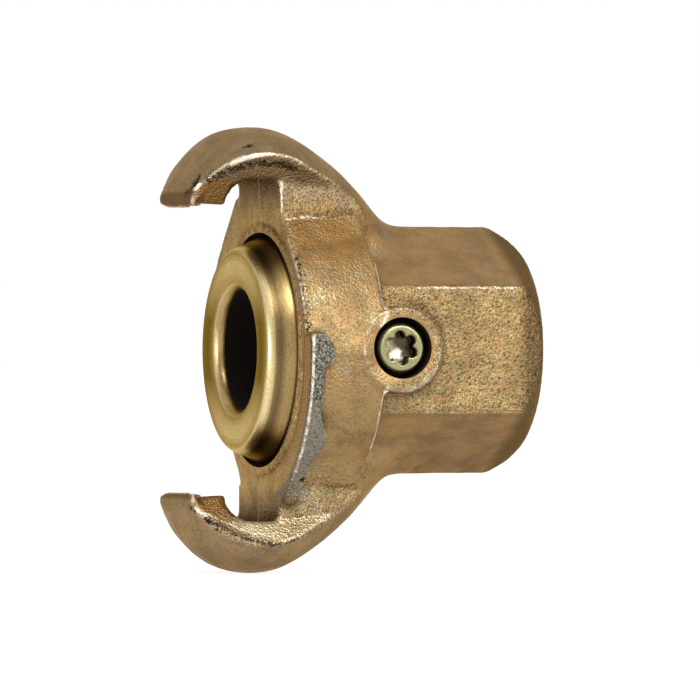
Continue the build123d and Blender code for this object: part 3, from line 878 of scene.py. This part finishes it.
mouth_roll = curve_through(
    MOUTH, (MOUTH[0] - 1.0, MOUTH[1]), (HEAD_FRONT_X, CREST_RADII[0] - 1.05),
    (HEAD_FRONT_X, CREST_RADII[0]), ROUND_STEPS)
head_round = curve_through(
    (HEAD_FRONT_X, CREST_RADII[-1]), (HEAD_FRONT_X, CREST_RADII[-1] + 1.2),
    (SHOULDER[0] - 0.9, SHOULDER[1] - 0.38), SHOULDER, ROUND_STEPS)
sleeve_loop = mouth_roll + [(HEAD_FRONT_X, radius) for radius in CREST_RADII[:-1]] + head_round + [
    SHOULDER, SKIRT_MIDDLE, (FLANGE_X, HEAD_RADIUS),
    (HEAD_BACK_X - HEAD_CHAMFER, HEAD_RADIUS), (HEAD_BACK_X, HEAD_RADIUS - HEAD_CHAMFER),
    (HEAD_BACK_X, BARREL_RADIUS), (GROOVE_X[0], BARREL_RADIUS), (GROOVE_X[0], GROOVE_FLOOR),
    (GROOVE_X[1], GROOVE_FLOOR), (GROOVE_X[1], BARREL_RADIUS),
    (BARREL_END_X - BARREL_CHAMFER, BARREL_RADIUS), (BARREL_END_X, BARREL_RADIUS - BARREL_CHAMFER),
    (BARREL_END_X, AIR_RADIUS + BARREL_CHAMFER), (BARREL_END_X - BARREL_CHAMFER, AIR_RADIUS),
    (SEAL_POCKET_END_X, AIR_RADIUS), (SEAL_POCKET_END_X, SEAL_POCKET_RADIUS),
    (MOUTH[0], SEAL_POCKET_RADIUS)]
blank = place("sleeve_blank", lathe("sleeve_blank", sleeve_loop, SLEEVE_STEPS))

outline = []
for centre, start in ((KEYWAY[1] - KEYWAY_HALF_WIDTH, -90), (KEYWAY[0] + KEYWAY_HALF_WIDTH, 90)):
    for turn in np.linspace(start, start + 180, KEYWAY_END_STEPS):
        angle = math.radians(turn)
        outline.append((centre + KEYWAY_HALF_WIDTH * math.cos(angle), KEYWAY_HALF_WIDTH * math.sin(angle)))
points = [
    (x * MM, -depth * MM, (z + SCREW_Z) * MM)
    for depth in (KEYWAY_FLOOR, KEYWAY_MILL_TOP) for x, z in outline]
count = len(outline)
faces = [tuple(range(count)), tuple(range(count, 2 * count))]
faces += [(k, (k + 1) % count, count + (k + 1) % count, count + k) for k in range(count)]
mill = place("keyway_mill", solid("keyway_mill", points, faces))
subtract(blank, mill)
sleeve = finished("seal_head", blank, mill)
crease(sleeve.data, CREASE_ANGLE)

# Bands of the head, painted reflections: a dark one behind the shoulder and beside the mouth,
# highlights on the shoulder, the crest and the mouth's lip, and a golden one further back on the skirt.
x, y, z = positions(sleeve.data).T
ring_radius = np.hypot(y, z)
behind_crest = x - HEAD_FRONT_X
along_skirt = behind_crest + np.maximum(ring_radius - 14.1, 0)
skirt = (ring_radius > 13.0) & (behind_crest < 8.2)
crest = band(ring_radius, 12.3, full=0.76, fade=1.9) * (behind_crest < 0.3)
beside_mouth = band(z, 0, full=4.25, fade=8.5)
far_side = ramp(y, zero_at=0, one_at=5.0) * band(z, 0, full=5.1, fade=8.5) * (ring_radius > 12.0)
skirt_dark_reflection = band(along_skirt, 3.9, full=0.5, fade=1.0) * skirt
skirt_highlight = band(along_skirt, 1.8, full=0.4, fade=0.8) * skirt
lip_highlight = band(ring_radius, 9.9, full=0, fade=0.35) * (behind_crest < 1.9)
golden_reflection = ramp(along_skirt, zero_at=4.9, one_at=5.9) * skirt * (behind_crest < 4.4)
brass_masks = {
    "dark_reflection": np.max([
        skirt_dark_reflection, 0.95 * crest * beside_mouth, 0.7 * far_side * (behind_crest < 2.0)], axis=0),
    "bright_reflection": np.max([
        skirt_highlight * (1 - 0.8 * far_side), 0.5 * lip_highlight, 0.9 * crest * (1 - beside_mouth)], axis=0),
    "golden_reflection": golden_reflection,
}
for name, values in brass_masks.items():
    paint(sleeve.data, name, values)

DARK_REFLECTION_BROWN = (0.106, 0.071, 0.029, 1)
SKIRT_REFLECTION_GOLD = (0.29, 0.192, 0.073, 1)
HIGHLIGHT_BRASS = (0.66, 0.53, 0.275, 1)
BRASS_FLECK = (0.09, 0.055, 0.025, 1)
BRASS_SHEEN = (0.68, 0.55, 0.33, 1)
RINGS_PER_MM = 1.3

brass, wiring, shine = material("turned_brass")
brass_tone = wiring.group(
    mottle.tree, First=(0.320, 0.224, 0.098, 1), Second=(0.250, 0.170, 0.070, 1),
    Warm=(0.31, 0.175, 0.060, 1), Cool=(0.255, 0.203, 0.105, 1), Patch_size=4.0, Tint=0.5)
brass_grain = wiring.group(grain.tree, Grain_size=0.35, Flecks=1.0)
where = wiring.millimetres()
x, y, z = wiring.apart(where)
ring_place = wiring.math("ADD", wiring.distance(y, 0.0, z, 0.0), wiring.math("MULTIPLY", x, 1.3))
wander = wiring.math("MULTIPLY", wiring.noise(where, 0.16, detail=2.0, roughness=0.5), 0.5)
ring_place = wiring.math("MULTIPLY", wiring.math("ADD", ring_place, wander), RINGS_PER_MM)
ring_noise = wiring.add("ShaderNodeTexNoise", noise_dimensions="1D")
wiring.wire(ring_place, ring_noise.inputs["W"])
ring_noise.inputs["Detail"].default_value = 4.0
ring_line = ring_noise.outputs["Fac"]
# Painted dark, golden and bright reflections on the head.
tone = wiring.over(brass_tone["Color"], "dark_reflection", DARK_REFLECTION_BROWN, share=0.9)
tone = wiring.over(tone, "golden_reflection", SKIRT_REFLECTION_GOLD, share=0.7)
tone = wiring.over(tone, "bright_reflection", HIGHLIGHT_BRASS, share=0.8)
tone = wiring.mix(1.0, tone, wiring.remap(ring_line, 0.38, 0.62, 0.84, 1.12), "MULTIPLY")
tone = wiring.mix(1.0, tone, wiring.remap(brass_grain["Height"], 0.5, 0.95, 0.82, 1.16), "MULTIPLY")
tone = wiring.over(tone, brass_grain["Fleck"], BRASS_FLECK, share=0.42)
wiring.wire(tone, shine.inputs["Base Color"])
shine.inputs["Metallic"].default_value = 1.0
shine.inputs["Specular Tint"].default_value = BRASS_SHEEN
wiring.wire(wiring.remap(ring_line, 0.3, 0.7, 0.27, 0.36), shine.inputs["Roughness"])
ring_height = wiring.math("ADD", ring_line, brass_grain["Height"])
wiring.wire(wiring.relief(ring_height, depth=0.02, strength=0.35), shine.inputs["Normal"])
dress(sleeve, brass)
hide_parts("seal_sleeve")
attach(sleeve, "seal")


# The seal ring in the sleeve's mouth and the O-ring on its barrel: moulded
# black rubber, dull and slightly dusty.

RUBBER_BLACK = (0.005, 0.003, 0.002, 1)
RUBBER_DUST = (0.02, 0.014, 0.010, 1)

rubber, wiring, shine = material("black_rubber")
rubber_grain = wiring.group(grain.tree, Grain_size=0.25, Flecks=0.25)
wiring.wire(wiring.mix(rubber_grain["Fleck"], RUBBER_BLACK, RUBBER_DUST), shine.inputs["Base Color"])
shine.inputs["Roughness"].default_value = 0.9
shine.inputs["Specular IOR Level"].default_value = 0.15
for name in ("face_seal", "sleeve_o_ring"):
    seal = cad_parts[name]
    for slot in seal.material_slots:
        slot.material = rubber


# The seal spring: drawn wire wound in two and a quarter turns round the barrel,
# its ends ground flat against the brass head and the recess floor.

SPRING_FRONT_X = -36.2
SPRING_BACK_X = -29.2
WIRE_RADIUS = 0.9
GROUND_OFF = 0.35
COIL_RADIUS = 15.2
COIL_TURNS = 2.25
COIL_STEPS = 200
WIRE_STEPS = 20
GROUND_END_ANGLE = 40

coil_run = SPRING_BACK_X - SPRING_FRONT_X - 2 * (WIRE_RADIUS - GROUND_OFF)
points, faces = [], []
for step in range(COIL_STEPS + 1):
    share = step / COIL_STEPS
    angle = 2 * math.pi * COIL_TURNS * share
    wire_middle = SPRING_FRONT_X + WIRE_RADIUS - GROUND_OFF + coil_run * share
    for k in range(WIRE_STEPS):
        round_wire = 2 * math.pi * k / WIRE_STEPS
        wire_x = wire_middle + WIRE_RADIUS * math.sin(round_wire)
        wire_x = min(max(wire_x, SPRING_FRONT_X), SPRING_BACK_X)
        points.append(round_point(wire_x, COIL_RADIUS + WIRE_RADIUS * math.cos(round_wire), angle))
for step in range(COIL_STEPS):
    here, there = step * WIRE_STEPS, (step + 1) * WIRE_STEPS
    for k in range(WIRE_STEPS):
        n = (k + 1) % WIRE_STEPS
        faces.append((here + k, here + n, there + n, there + k))
faces.append(tuple(range(WIRE_STEPS)))
faces.append(tuple(COIL_STEPS * WIRE_STEPS + k for k in range(WIRE_STEPS)))
spring = place("coil_spring", solid("coil_spring", points, faces))
crease(spring.data, GROUND_END_ANGLE)

wire, wiring, shine = material("spring_wire")
wire_tone = wiring.group(
    mottle.tree, First=(0.42, 0.42, 0.42, 1), Second=(0.33, 0.32, 0.31, 1),
    Warm=(0.36, 0.28, 0.2, 1), Cool=(0.35, 0.37, 0.40, 1), Patch_size=3.0, Tint=0.3)
wiring.wire(wire_tone["Color"], shine.inputs["Base Color"])
shine.inputs["Metallic"].default_value = 1.0
wiring.wire(wiring.remap(wire_tone["Patch"], 0.3, 0.7, 0.25, 0.4), shine.inputs["Roughness"])
dress(spring, wire)
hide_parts("seal_spring")
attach(spring, "shell")
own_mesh(spring)


# The retaining screw: a small cheese-head screw with a six-lobed socket, turned
# from steel and passivated to a pale yellow green.

SCREW_HEAD_TOP_Y = -19.95
SCREW_CELL = 0.1
SCREW_PASSES = 2
SCREW_RIM_GREEN = (0.26, 0.27, 0.15, 1)
SOCKET_SHADE = (0.020, 0.014, 0.008, 1)
SOCKET_LIT = (0.16, 0.135, 0.080, 1)
SOCKET_HIGHLIGHT = (0.55, 0.57, 0.44, 1)

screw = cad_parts["retaining_screw"]
soften_skin(screw, SCREW_CELL, SCREW_PASSES)

screw_steel, wiring, shine = material("passivated_screw")
screw_tone = wiring.group(
    mottle.tree, First=(0.165, 0.145, 0.066, 1), Second=(0.115, 0.108, 0.052, 1),
    Warm=(0.19, 0.12, 0.065, 1), Cool=(0.10, 0.12, 0.062, 1), Patch_size=1.4, Tint=0.6)
where = wiring.millimetres()
x, y, z = wiring.apart(where)
from_screw = wiring.distance(x, SCREW_X, z, SCREW_Z)
# Painted shade in the socket, lighter on its lit lower left, with a painted highlight low in its middle.
sunk = wiring.remap(y, SCREW_HEAD_TOP_Y + 0.15, SCREW_HEAD_TOP_Y + 1.0)
sunk = wiring.math("MULTIPLY", sunk, wiring.remap(from_screw, 2.9, 2.6))
from_dip = wiring.distance(x, SCREW_X - 0.1, z, SCREW_Z - 1.0)
ragged = wiring.math("MULTIPLY", wiring.noise(where, 1.3, detail=2.0), 1.6)
socket_highlight = wiring.remap(wiring.math("ADD", from_dip, ragged), 2.0, 1.2)
socket_highlight = wiring.math("MULTIPLY", sunk, socket_highlight)
to_the_right = wiring.math("ADD", x, wiring.math("MULTIPLY", z, 0.5))
screw_middle = SCREW_X + 0.5 * SCREW_Z
lit_side = wiring.remap(to_the_right, screw_middle + 0.3, screw_middle - 1.2)
tone = wiring.over(screw_tone["Color"], wiring.remap(from_screw, 2.9, 3.2), SCREW_RIM_GREEN, share=0.4)
tone = wiring.over(tone, sunk, wiring.mix(lit_side, SOCKET_SHADE, SOCKET_LIT), share=0.92)
tone = wiring.over(tone, socket_highlight, SOCKET_HIGHLIGHT, share=0.75)
wiring.wire(tone, shine.inputs["Base Color"])
shine.inputs["Metallic"].default_value = 0.95
wiring.wire(wiring.remap(screw_tone["Patch"], 0.3, 0.7, 0.2, 0.34), shine.inputs["Roughness"])
for slot in screw.material_slots:
    slot.material = screw_steel


# The studio: a pale floor under the coupling, white surroundings, three soft
# lamps in front, on the left and above, and a long lens at the photograph's
# angle. Floor and surroundings look white, but light the coupling plainly.

FLOOR_GAP = 0.00002
FLOOR_HALF_SIZE = 12.0
FLOOR_GREY = (0.6, 0.6, 0.6, 1)
FLOOR_GLOW = 0.80
WORLD_LIGHT = 0.45
WHITE = (1, 1, 1, 1)
TARGET = (-0.027, 0, 0)
# Each lamp's name, place and width in metres, and power in watts.
LAMPS = [
    ("front_lamp", (0.18, -0.57, 0.14), 0.18, 1.5),
    ("left_lamp", (-0.55, -0.18, 0.0), 0.14, 1.45),
    ("top_lamp", (-0.08, -0.34, 0.46), 0.24, 1.75),
]
AIM = Vector((-0.0272, -0.0047, 0))
VIEW_DISTANCE = 1.2
VIEW_ANGLE = math.radians(-20)
FRAME_WIDTH = 0.10606
SENSOR_WIDTH = 36


def seen_directly(wiring):
    """1 for the camera's rays and for those by mirror or through glass, else 0."""
    rays = wiring.add("ShaderNodeLightPath").outputs
    seen = wiring.math("MAXIMUM", rays["Is Camera Ray"], rays["Is Glossy Ray"])
    return wiring.math("MAXIMUM", seen, rays["Is Transmission Ray"])


floor_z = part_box("coupling_body")[0][2] - FLOOR_GAP
floor_corners = [
    (x * FLOOR_HALF_SIZE, y * FLOOR_HALF_SIZE, floor_z)
    for x, y in ((-1, -1), (1, -1), (1, 1), (-1, 1))]
floor_mesh = bpy.data.meshes.new("floor")
floor_mesh.from_pydata(floor_corners, [], [(0, 1, 2, 3)])
floor = place("floor", floor_mesh)
floor_paint, wiring, shine = material("pale_floor")
shine.inputs["Base Color"].default_value = FLOOR_GREY
shine.inputs["Roughness"].default_value = 0.9
shine.inputs["Specular IOR Level"].default_value = 0.0
glow = wiring.add("ShaderNodeEmission")
wiring.wire(wiring.math("MULTIPLY", seen_directly(wiring), FLOOR_GLOW), glow.inputs["Strength"])
both = wiring.add("ShaderNodeAddShader")
wiring.wire(shine.outputs["BSDF"], both.inputs[0])
wiring.wire(glow.outputs["Emission"], both.inputs[1])
wiring.wire(both.outputs["Shader"], wiring.tree.nodes["Material Output"].inputs["Surface"])
dress(floor, floor_paint)

world = bpy.data.worlds.new("white_studio")
bpy.context.scene.world = world
world.use_nodes = True
wiring = Shader(world.node_tree)
backdrop = world.node_tree.nodes["Background"]
backdrop.inputs["Color"].default_value = WHITE
wiring.wire(wiring.remap(seen_directly(wiring), 0, 1, WORLD_LIGHT, 1.0), backdrop.inputs["Strength"])

for name, lamp_at, width, power in LAMPS:
    light = bpy.data.lights.new(name, "AREA")
    light.shape = "SQUARE"
    light.size = width
    light.energy = power
    lamp = place(name, light)
    lamp.location = lamp_at
    lamp.rotation_euler = (Vector(TARGET) - Vector(lamp_at)).to_track_quat("-Z", "Y").to_euler()

lens = bpy.data.cameras.new("camera")
lens.sensor_width = SENSOR_WIDTH
lens.lens = SENSOR_WIDTH * VIEW_DISTANCE / FRAME_WIDTH
lens.clip_end = 20
camera = place("camera", lens)
camera.location = AIM + VIEW_DISTANCE * Vector((math.sin(VIEW_ANGLE), -math.cos(VIEW_ANGLE), 0))
camera.rotation_euler = (math.radians(90), 0, VIEW_ANGLE)
bpy.context.scene.camera = camera
bpy.context.scene.view_settings.view_transform = "Standard"
